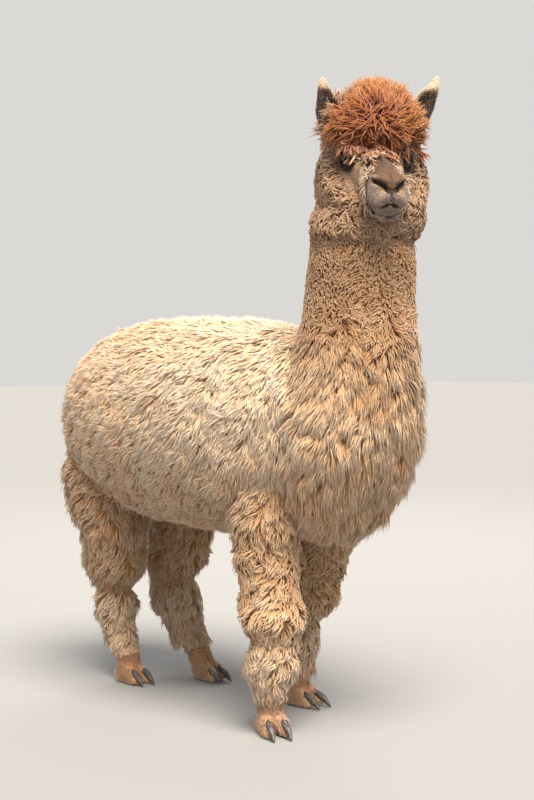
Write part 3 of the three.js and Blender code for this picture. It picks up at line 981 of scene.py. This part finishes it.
def sow(label, density, seed):
    """Roots spread evenly over a patch of the skin, with everything that a lock needs to know."""
    rng = np.random.default_rng(seed)
    own = np.where(patch_of == label)[0]
    number = int(area[own].sum() * density)
    chosen, weights = scatter(rng, corner_places[own], number * TRIES)
    chosen = own[chosen]
    roots = (corner_places[chosen] * weights[:, :, None]).sum(1)
    cell = math.sqrt(CELL_AREA / density)
    tilt = np.linalg.qr(rng.normal(size=(3, 3)))[0]
    kept = np.unique(np.floor(roots @ tilt / cell), axis=0, return_index=True)[1]
    along, off, _ = along_muzzle(on_face(roots[kept]))
    nose = (along > rng.uniform(NOSE_FROM - 26, NOSE_FROM + 14, len(kept))) & (off < 70)
    bald = (nose | near_eyes(roots[kept], 21)) if label == "face" else roots[kept, 2] < SOLE
    kept = kept[~bald]
    chosen, weights = chosen[kept], weights[kept][:, :, None]
    fields = (corner_fields[chosen] * weights).sum(1)
    style = fields[:, 3:3 + len(STYLES)]
    return {"root": roots[kept], "out": unit(fields[:, :3]), "style": style,
            "masks": fields[:, 3 + len(STYLES):], "unwrap": (corner_unwraps[chosen] * weights).sum(1)}


# How the locks of a patch differ from each other:
MESS_SHARES = (0.7, 0.7, 1.3)   # of the scatter that is a lock's own, its clump's and the region's
REGION_SIZE = 0.11              # over which the lie wanders, in metres
GATHERING = 1.2                 # how strongly locks turn to their clump's way
LEAN_SCATTER = (7, 5, 5)        # degrees: over the body, of each lock, of each clump
LENGTH_SCATTER = (0.9, 0.3, 0.12, 0.08)     # the least length, and shares: own, body, clump
STAR_REACH = (60, 10)           # in mm: near the star of the mop the locks stand up and curl
STAR_SWIRL = 6.3                # radians: and there they point any way
TONE_SCATTER = (0.14, 0.09, 0.2)            # of each lock, of each clump, over the body


def grow_locks(label, density, rings, seed):
    """The coat of one patch: sown, laid along the body, clumped and made a mesh."""
    lock = sow(label, density, seed)
    rng = np.random.default_rng(seed + 1)
    count = len(lock["root"])
    root, out = lock["root"], lock["out"]
    for name, values in zip(STYLE_PARTS, (lock["style"] @ STYLE_TABLE).T):
        lock[name] = values
    lie = laid_on_plane(lie_of_coat(root, lock["style"]), out)
    # Each lock belongs to the nearest clump, and shares some of that clump's own ways.
    clump = lock["clump"] * MM
    heads = np.where(rng.random(count) < 1 / (density * clump ** 2))[0]
    head_of = heads[nearest_index(root, root[heads])]
    whim = rng.normal(size=(count, 4))[head_of]
    own, shared, wandering = MESS_SHARES
    turn = np.radians(lock["mess"] * (rng.normal(size=count) * own + shared * whim[:, 0]
                                      + wandering * ripple(root, REGION_SIZE, seed)))
    off_star = np.linalg.norm(root - STAR, axis=1)
    turn += STAR_SWIRL * ease(55 * MM, 12 * MM, off_star) * (rng.random(count) - 0.5)
    side = np.cross(out, lie)
    lie = np.cos(turn)[:, None] * lie + np.sin(turn)[:, None] * side
    lock["lie"] = unit(lie + GATHERING * lock["pull"][:, None] * lie[head_of])
    lock["lie"] = laid_on_plane(lock["lie"], out)
    toward = root[head_of] - root
    near = ease(2 * clump, clump, np.linalg.norm(toward, axis=1))
    lock["draw"] = toward * (lock["pull"] * near)[:, None]
    over_body, own, shared = LEAN_SCATTER
    lock["lean"] = (lock["lean"] - over_body * ripple(root, 0.06, seed + 2)
                    + rng.normal(size=count) * own + shared * whim[:, 1])
    at_star = ease(STAR_REACH[0] * MM, STAR_REACH[1] * MM, off_star)
    lock["lean"] = lock["lean"] * (1 - at_star)
    lock["curl"] = lock["curl"] * (1 + 1.6 * at_star)
    lock["length"] = lock["length"] * (1 - 0.25 * at_star)
    least, own, over_body, shared = LENGTH_SCATTER
    lock["length"] = lock["length"] * (
        least + own * rng.random(count) + over_body * ripple(root, 0.09, seed + 3)
        + np.clip(shared * whim[:, 2], -2 * shared, 2 * shared))
    lock["width"] = lock["width"] * (0.8 + 0.4 * rng.random(count))
    lock["waves"] = rng.uniform(0.9, 1.5, count)
    lock["phase"] = rng.random(count)
    own, shared, over_body = TONE_SCATTER
    lock["tone"] = np.clip(0.5 + own * rng.normal(size=count) + shared * whim[:, 3]
                           + over_body * ripple(root, 0.05, seed + 4), 0, 1)
    return lock_piece("coat_" + label, lock, rings)


# %% The coat, patch by patch
# For each finish in the record: how many locks each patch has per square metre, and their rings.
COAT = {
    "fleece_body": {"shoulder": (66000, 1), "side": (66000, 1), "flank": (62000, 1),
                    "rump": (58000, 1), "breast": (66000, 1), "tail": (60000, 1),
                    "neck_left": (66000, 3), "neck_right": (66000, 3), "cheeks": (43000, 4)},
    "fleece_topknot": {"mop": (90000, 4)},
    "fleece_legs": {"upper_legs_front": (33500, 3), "upper_legs_hind": (44000, 2),
                    "lower_legs": (54000, 2)},
    "short_hair": {"feet": (95000, 1), "face": (200000, 1), "ears": (230000, 1)},
}
coat = {}
SLOTS = {label: slot for slot, patches in COAT.items() for label in patches}
for label, slot in SLOTS.items():
    coat[label] = grow_locks(label, *COAT[slot][label], 100 + 10 * len(coat))
print("triangles in the coat:", sum(len(piece.data.polygons) for piece in coat.values()))

# %% [markdown]
# ## Ringlets and tufts
#
# Single thick locks catch the eye: they hook over the brow, close to rings under the chin, roll up
# at one knee and fall in waves beside the bridge of the nose. They are set along short paths.

# %% Locks that are set along given paths
# paths, the number of locks on each, their spread and how far they stand out in mm, the sideways
# share of the curl, how far they lie ahead, rings and finish. Then the ranges of shape and markings.
BROW_PATHS = both_sides([[78, -12, 54], [60, 14, 52], [38, 36, 42], [2, 48, 36]])
CHIN_PATHS = both_sides([[84, -10, -132], [62, 36, -148], [30, 62, -150], [0, 70, -148]])
TUFT_PATHS = both_sides([[30, 60, -6], [42, 84, -26], [56, 84, -50], [54, 66, -84], [40, 50, -108]])
KNEE_PATHS = [on_face(KNEE_BALL + np.array([[0.024, -0.008, 0.012], [0.018, -0.010, -0.012]]))]
SET_LOCKS = {
    "brow_curls": (
        dict(paths=BROW_PATHS, number=115, spread=14, stand=10, sideways=0.5, ahead=0, rings=8,
             slot="fleece_topknot"),
        dict(length=(46, 68), width=(5.6, 8.6), lean=(36, 80), curl=(110, 230), wave=(0, 0.3)),
        dict(rust=(0.8, 1.0), pale=(0.0, 0.55), brown=(0, 0.2), dark=(0, 0), grey=(0, 0))),
    "chin_curls": (
        dict(paths=CHIN_PATHS, number=70, spread=12, stand=18, sideways=0.8, ahead=0, rings=8,
             slot="fleece_body"),
        dict(length=(36, 52), width=(7.0, 10.0), lean=(20, 80), curl=(220, 380), wave=(0, 0.3)),
        dict(pale=(0.1, 0.6))),
    "bridge_tufts": (
        dict(paths=TUFT_PATHS, number=110, spread=6, stand=6, sideways=0.35, ahead=0.25, rings=5,
             slot="short_hair"),
        dict(length=(22, 38), width=(2.8, 4.4), lean=(52, 80), curl=(30, 80), wave=(0.6, 1.6)),
        dict(pale=(0.1, 0.6), grey=(0, 0.2), dark=(0, 0), brown=(0, 0.2))),
    "knee_curls": (
        dict(paths=KNEE_PATHS, number=90, spread=13, stand=3, sideways=0.4, ahead=0, rings=6,
             slot="fleece_legs"),
        dict(length=(26, 38), width=(5.0, 7.0), lean=(0, 40), curl=(180, 300), wave=(0, 0.4)),
        dict(pale=(0.3, 0.8))),
}
SET_SOFT = 0.4        # how far set locks are shaded like the skin below them
SET_REACH = 0.16      # they only look for the skin within this distance of their middle, in metres


def set_locks(label, at, shape, marks, seed):
    """Locks along paths: each roots at the skin's nearest triangle and takes its markings."""
    rng = np.random.default_rng(seed)
    goals = []
    for path in at["paths"]:
        t = rng.uniform(0, len(path) - 1, at["number"])
        goals.append(np.stack([np.interp(t, np.arange(len(path)), column) for column in path.T], 1))
    goals = np.concatenate(goals)
    goals = goals + rng.normal(size=goals.shape) * at["spread"] * 0.6
    near = np.where(np.linalg.norm(middles - from_face(*goals.mean(0)), axis=1) < SET_REACH)[0]
    own = np.unique(near[nearest_index(BROW + (goals @ FACE_AXES) * MM, middles[near])])
    count = len(own)
    fields = corner_fields[own].mean(1)
    out = unit(fields[:, :3])
    lie = laid_on_plane(-UP + at["ahead"] * AHEAD, out)
    side = np.cross(out, lie) * rng.choice([-1, 1], count)[:, None]
    turn = rng.normal(size=count)[:, None] * 0.35
    lie = unit(lie + turn * side)
    curl_out = unit(at["sideways"] * side + (1 - at["sideways"]) * out)
    masks_here = fields[:, 3 + len(STYLES):]
    for name, (low, high) in marks.items():
        masks_here[:, MASKS.index(name)] = rng.uniform(low, high, count)
    lock = {"root": middles[own], "out": laid_on_plane(curl_out, lie), "lie": lie,
            "draw": out * (at["stand"] * MM), "masks": masks_here,
            "unwrap": corner_unwraps[own].mean(1), "soft": np.full(count, SET_SOFT),
            "tone": np.clip(0.55 + 0.2 * rng.normal(size=count), 0, 1)}
    for name, (low, high) in shape.items():
        lock[name] = rng.uniform(low, high, count)
    lock["waves"] = rng.uniform(1.0, 1.6, count)
    lock["phase"] = rng.random(count)
    return lock_piece("coat_" + label, lock, at["rings"])


for seed, (label, (at, shape, marks)) in enumerate(SET_LOCKS.items()):
    coat[label] = set_locks(label, at, shape, marks, 500 + seed)
    SLOTS[label] = at["slot"]

# %% [markdown]
# ## A lighter skin
#
# The locks have taken their roots and markings from a fine skin. Where they cover it, it can now do
# with far fewer triangles.

# %% Thinning the covered skin
SKIN_TRIANGLES = 185000
hidden = styles @ [name not in ("face", "foot", "ear") for name in STYLE_NAMES]
thin(skin, SKIN_TRIANGLES / len(triangles_of(skin.data)), "hidden", np.where(hidden > 0.99)[0])
print("skin, triangles:", len(triangles_of(skin.data)))

# %% [markdown]
# ## The colours of skin and coat
#
# One node group holds the markings. Each colour of fleece runs from a dark root, which is painted
# shade deep in the fleece, through a mid tone to a pale tip, which is a painted highlight, and the
# masks mix one colour over the other. Skin and locks use the same group, and differ in how far along
# a lock they are.

# %% The group of markings
# Each colour: its root, which is painted shade deep in the fleece, its middle, and its tip, which is a
# painted highlight.
FLEECE_COLOURS = {
    "cream": ("#cc9c6b", "#e9bd90", "#fae4ca"),
    "tan": ("#6f462b", "#a0744d", "#dbb690"),
    "rust": ("#341003", "#7d350e", "#c0702e"),
    "brown": ("#3a261a", "#5a3f2c", "#8c6a4e"),
    "pale": ("#c9a274", "#f0d5b2", "#fff2e2"),
    "grey": ("#564843", "#7d6c65", "#b8a69e"),
    "dark": ("#150e0a", "#241812", "#4a382a"),
}
WHITE = (1.0, 1.0, 1.0, 1.0)
BLACK = (0.0, 0.0, 0.0, 1.0)


def linear(code):
    """A colour such as #aabbcc as the shader's linear values."""
    parts = [int(code[i:i + 2], 16) / 255 for i in (1, 3, 5)]
    return [p / 12.92 if p <= 0.04045 else ((p + 0.055) / 1.055) ** 2.4 for p in parts] + [1.0]


def feed(tree, socket, source):
    """Links the socket to another node's output, or else gives it the value."""
    if isinstance(source, bpy.types.NodeSocket):
        tree.links.new(source, socket)
    else:
        socket.default_value = source


def node(tree, kind, inputs=(), **settings):
    """Adds a node with its settings, and feeds its inputs, by their names or numbers."""
    made = tree.nodes.new(kind)
    for key, value in settings.items():
        setattr(made, key, value)
    for key, source in dict(inputs).items():
        feed(tree, made.inputs[key], source)
    return made


def mixed(tree, factor, first, second, kind="MIX"):
    inputs = {0: factor, 6: first, 7: second}
    return node(tree, "ShaderNodeMix", inputs, data_type="RGBA", blend_type=kind).outputs[2]


def math_node(tree, operation, *values):
    return node(tree, "ShaderNodeMath", enumerate(values), operation=operation).outputs[0]


def attribute(tree, name):
    return node(tree, "ShaderNodeAttribute", attribute_name=name).outputs["Fac"]


def model_place(tree):
    return node(tree, "ShaderNodeTexCoord").outputs["Object"]


def noise(tree, place, scale, detail, roughness=0.5):
    inputs = {"Vector": place, "Scale": scale, "Detail": detail, "Roughness": roughness}
    return node(tree, "ShaderNodeTexNoise", inputs).outputs["Fac"]


def tinted(tree, colour, tint):
    """A colour multiplied by another."""
    return mixed(tree, 1.0, colour, tint, "MULTIPLY")


def ramp(tree, factor, stops):
    made = node(tree, "ShaderNodeValToRGB", {0: factor})
    elements = made.color_ramp.elements
    elements[0].position, elements[0].color = stops[0]
    elements[1].position, elements[1].color = stops[-1]
    for place, colour in stops[1:-1]:
        elements.new(place).color = colour
    return made.outputs[0]


def markings_group():
    group = bpy.data.node_groups.new("Coat markings", "ShaderNodeTree")
    for name in ("Along", "Tone"):
        group.interface.new_socket(name, in_out="INPUT", socket_type="NodeSocketFloat")
    group.interface.new_socket("Colour", in_out="OUTPUT", socket_type="NodeSocketColor")
    inlet = node(group, "NodeGroupInput")
    shift = math_node(group, "MULTIPLY_ADD", inlet.outputs["Tone"], 0.34, -0.17)
    place = math_node(group, "ADD", inlet.outputs["Along"], shift)
    colour = None
    # Along each lock the dark root is painted shade and the pale tip a painted highlight.
    for name, (root, middle, tip) in FLEECE_COLOURS.items():
        own = ramp(group, place, [(0.0, linear(root)), (0.45, linear(middle)), (1.0, linear(tip))])
        colour = own if colour is None else mixed(group, attribute(group, name), colour, own)
        if name == "cream":
            stains = noise(group, model_place(group), 9.0, 3.0)
            apricot = ramp(group, stains, [(0.5, BLACK), (0.68, WHITE)])
            colour = mixed(group, apricot, colour, tinted(group, colour, linear("#fbe6d0")))
    node(group, "NodeGroupOutput", {"Colour": colour})
    return group


MARKINGS = markings_group()


def new_material(name, values):
    """A new material, its tree and its shader, which gets the values."""
    made = bpy.data.materials.new(name)
    made.use_nodes = True
    shader = made.node_tree.nodes["Principled BSDF"]
    for key, value in values.items():
        shader.inputs[key].default_value = value
    return made, made.node_tree, shader


def marked_material(name, roughness, sheen, soft):
    """A new material, its tree and its shader, and the colour of the markings."""
    made, tree, shader = new_material(name, {
        "Roughness": roughness, "Specular IOR Level": 0.25, "Sheen Weight": sheen,
        "Sheen Roughness": 0.5, "Subsurface Weight": soft,
        "Subsurface Radius": (0.010, 0.006, 0.004), "Subsurface Scale": 1.0})
    inputs = {"Along": attribute(tree, "along"), "Tone": attribute(tree, "tone")}
    group = node(tree, "ShaderNodeGroup", inputs, node_tree=MARKINGS)
    return made, tree, shader, group.outputs["Colour"]


def finish_shader(tree, shader, colour, height, strength, distance):
    """Gives the shader its colour, and a bump of this strength and distance from a height."""
    bump = node(tree, "ShaderNodeBump", {"Height": height, "Strength": strength, "Distance": distance})
    feed(tree, shader.inputs["Base Color"], colour)
    feed(tree, shader.inputs["Normal"], bump.outputs["Normal"])


def coat_material():
    made, tree, shader, colour = marked_material("fleece locks", 0.85, 0.3, 0.3)
    scales = {"across": 4.0, "along": 1.2, "tone": 60.0}
    scaled = [math_node(tree, "MULTIPLY", attribute(tree, name), scale) for name, scale in scales.items()]
    place = node(tree, "ShaderNodeCombineXYZ", enumerate(scaled)).outputs[0]
    fibres = noise(tree, place, 1.0, 3.0, 0.65)
    streaks = ramp(tree, fibres, [(0.35, linear("#cdbca9")), (0.56, WHITE)])
    finish_shader(tree, shader, tinted(tree, colour, streaks), fibres, 0.8, 0.002)
    return made


def skin_material():
    made, tree, shader, colour = marked_material("skin with short hair", 0.6, 0.1, 0.0)
    place = model_place(tree)
    hair = noise(tree, place, 260.0, 5.0, 0.6)
    pores = node(tree, "ShaderNodeTexVoronoi", {"Vector": place, "Scale": 240.0}).outputs["Distance"]
    height = math_node(tree, "MULTIPLY_ADD", pores, 0.8, hair)
    # Whisker roots: small dark dots on the lips, and a mottling of the whole skin.
    dots = ramp(tree, pores, [(0.12, WHITE), (0.34, BLACK)])
    dotted = math_node(tree, "MULTIPLY", math_node(tree, "MULTIPLY", dots, attribute(tree, "grey")), 0.5)
    mottled = ramp(tree, hair, [(0.38, linear("#b9aea8")), (0.6, WHITE)])
    colour = mixed(tree, dotted, tinted(tree, colour, mottled), linear("#4a3a32"))
    finish_shader(tree, shader, colour, height, 0.55, 0.0016)
    return made


fleece = coat_material()
skin.data.materials.clear()
skin.data.materials.append(skin_material())
skin.data.shade_smooth()
for piece in coat.values():
    piece.data.materials.append(fleece)
print("nodes in the markings:", len(MARKINGS.nodes))

# %% [markdown]
# ## The eyes
#
# An alpaca's eye is dark brown, nearly black, with a wide pupil that lies level. The ball is made
# round and fine, with the cornea swelling a little out of it, and is clear-coated so it looks wet.

# %% The eyeballs
CORNEA_SWELL = 0.9
PUPIL_WIDTH = 7.5
PUPIL_HEIGHT = 3.4
IRIS_RADIUS = 11.5


def eyeball(side):
    bpy.ops.mesh.primitive_uv_sphere_add(segments=56, ring_count=36, radius=EYE_RADIUS * MM)
    ball = bpy.context.object
    ball.name = ball.data.name = "eyeball_" + side
    local = vertex_places(ball.data) / MM
    across, up, out = local.T
    off = np.hypot(across, up)
    front = out > 0
    out += CORNEA_SWELL * ease(IRIS_RADIUS, 2, off) * front
    pupil = np.hypot(across / PUPIL_WIDTH, up / PUPIL_HEIGHT)
    set_values(ball.data, "pupil", ease(1.1, 0.9, pupil) * front)
    set_values(ball.data, "iris", ease(IRIS_RADIUS + 1, IRIS_RADIUS - 1, off) * front)
    axes = eye_axes(side)
    if np.linalg.det(axes) < 0:
        axes[0] *= -1
    move_to(ball.data, EYE[side] + (local @ axes) * MM)
    ball.data.shade_smooth()
    return ball


def eye_material():
    made, tree, shader = new_material("wet dark eye", {
        "Roughness": 0.15, "Specular IOR Level": 0.15, "Coat Weight": 0.45, "Coat Roughness": 0.04})
    streaks = noise(tree, model_place(tree), 700.0, 2.0)
    iris = ramp(tree, streaks, [(0.35, linear("#0f0906")), (0.7, linear("#2a180d"))])
    colour = mixed(tree, attribute(tree, "iris"), linear("#1a110c"), iris)
    colour = mixed(tree, attribute(tree, "pupil"), colour, linear("#050506"))
    feed(tree, shader.inputs["Base Color"], colour)
    return made


eyeballs = {side: eyeball(side) for side in EYE}
wet_eye = eye_material()
for ball in eyeballs.values():
    ball.data.materials.append(wet_eye)

# %% [markdown]
# ## The lashes
#
# Long straight lashes hang over the upper lid and shade the eye. They are locks like the others, but
# hair-thin, and they root along the lid's upper edge.

# %% The lashes
LASHES = 70
LASH_SHAPE = {"length": (9, 14), "width": (0.5, 0.8), "lean": (95, 108), "curl": (12, 30),
              "wave": (0, 0.1), "waves": (1, 1.1), "phase": (0, 1), "soft": (0, 0)}


def lashes(side):
    rng = np.random.default_rng(7)
    t = np.linspace(-0.95, 0.95, LASHES)
    one = np.ones(LASHES)
    axes = eye_axes(side)
    across = OPENING_WIDTH * t
    height = OPENING_HEIGHT * np.sqrt(1 - t ** 2) * 0.93 + 0.4
    out = np.sqrt(np.maximum((EYE_RADIUS + LID_THICKNESS) ** 2 - across ** 2 - height ** 2, 0)) - 0.3
    lie = unit(np.stack([0.35 * t, 0.25 * one, one], 1)) @ axes
    outward = unit(np.stack([0.2 * t, one, -0.2 * one], 1)) @ axes
    lock = {"root": EYE[side] + np.stack([across, height, out], 1) @ axes * MM,
            "out": laid_on_plane(outward, lie), "lie": lie, "draw": np.zeros((LASHES, 3)),
            "unwrap": np.stack([0.1 + 0.8 * (t + 1) / 2, 0.5 * one], 1),
            "masks": np.tile([name == "dark" for name in MASKS], (LASHES, 1)) * 1.0, "tone": 0.1 * one}
    for name, (low, high) in LASH_SHAPE.items():
        lock[name] = rng.uniform(low, high, LASHES)
    piece = lock_piece("lashes_" + side, lock, 4)
    piece.data.materials.append(fleece)
    return piece


lash_pieces = [lashes(side) for side in EYE]

# %% [markdown]
# ## The nails
#
# Each toe ends in a nail that curves down like a claw. It is horn: slate grey with paler streaks
# along it.

# %% The nails
NAIL_VOXEL = 0.0016


def nail_piece(name):
    made = joined_copy([name], name.replace("nail", "horn_nail"))
    remesh(made, NAIL_VOXEL, 5)
    made.data.shade_smooth()
    return made


def nail_material():
    made, tree, shader = new_material("horn nail", {"Roughness": 0.42})
    stretch = node(tree, "ShaderNodeMapping", {"Vector": model_place(tree), "Scale": (1.0, 0.18, 0.5)})
    streaks = noise(tree, stretch.outputs["Vector"], 300.0, 4.0)
    colour = ramp(tree, streaks,
                  [(0.3, linear("#242325")), (0.55, linear("#454244")), (0.78, linear("#857d76"))])
    finish_shader(tree, shader, colour, streaks, 0.3, 0.001)
    return made


NAILS = [name for name in nodes if name.startswith("nail")]
horn = nail_material()
nails = {}
for name in NAILS:
    nails[name] = nail_piece(name)
    nails[name].data.materials.append(horn)
print("nails:", len(nails))

# %% [markdown]
# ## The floor and the light
#
# The model stands on a plain pale floor. The key light is a soft sun, high ahead of it. One large
# lamp fills the shadows at its right side, another lights its edge from behind, and a pale sky
# does the rest.

# %% Floor, sky and lamps
bpy.ops.mesh.primitive_plane_add(size=60)
floor = bpy.context.object
floor.name = floor.data.name = "floor"
floor_look = {"Base Color": linear("#838587"), "Roughness": 0.9}
floor.data.materials.append(new_material("pale floor", floor_look)[0])

sky = bpy.data.worlds.new("pale sky")
sky.use_nodes = True
sky_shader = sky.node_tree.nodes["Background"]
sky_shader.inputs["Color"].default_value = linear("#efedea")
sky_shader.inputs["Strength"].default_value = 0.82
bpy.context.scene.world = sky
MIDDLE = Vector((0, 0, 0.8))


def lamp(kind, name, place, colour, **settings):
    """A soft lamp that looks at the middle of the animal."""
    bpy.ops.object.light_add(type=kind, location=place)
    made = bpy.context.object
    made.name = name
    for key, value in settings.items():
        setattr(made.data, key, value)
    made.data.color = linear(colour)[:3]
    made.rotation_euler = (Vector(place) - MIDDLE).to_track_quat("Z", "Y").to_euler()


lamp("SUN", "key lamp", (-0.9, -1.9, 4.4), "#fff2e2", energy=9.2, angle=math.radians(36))
lamp("AREA", "fill lamp", (-4.6, 1.0, 2.6), "#f4f2f0", size=3.0, energy=30)
lamp("AREA", "rim lamp", (3.0, 2.6, 3.6), "#fff6ec", size=1.6, energy=80)
bpy.context.scene.view_settings.view_transform = "Standard"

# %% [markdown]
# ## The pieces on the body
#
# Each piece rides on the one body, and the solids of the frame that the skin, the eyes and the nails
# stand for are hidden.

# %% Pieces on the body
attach(skin, "root")
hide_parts(*FLESH)
for label, piece in coat.items():
    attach(piece, "root")
for side, ball in eyeballs.items():
    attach(ball, "root")
    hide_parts("eye_" + side)
for piece in lash_pieces:
    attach(piece, "root")
for name, piece in nails.items():
    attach(piece, "root")
    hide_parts(name)
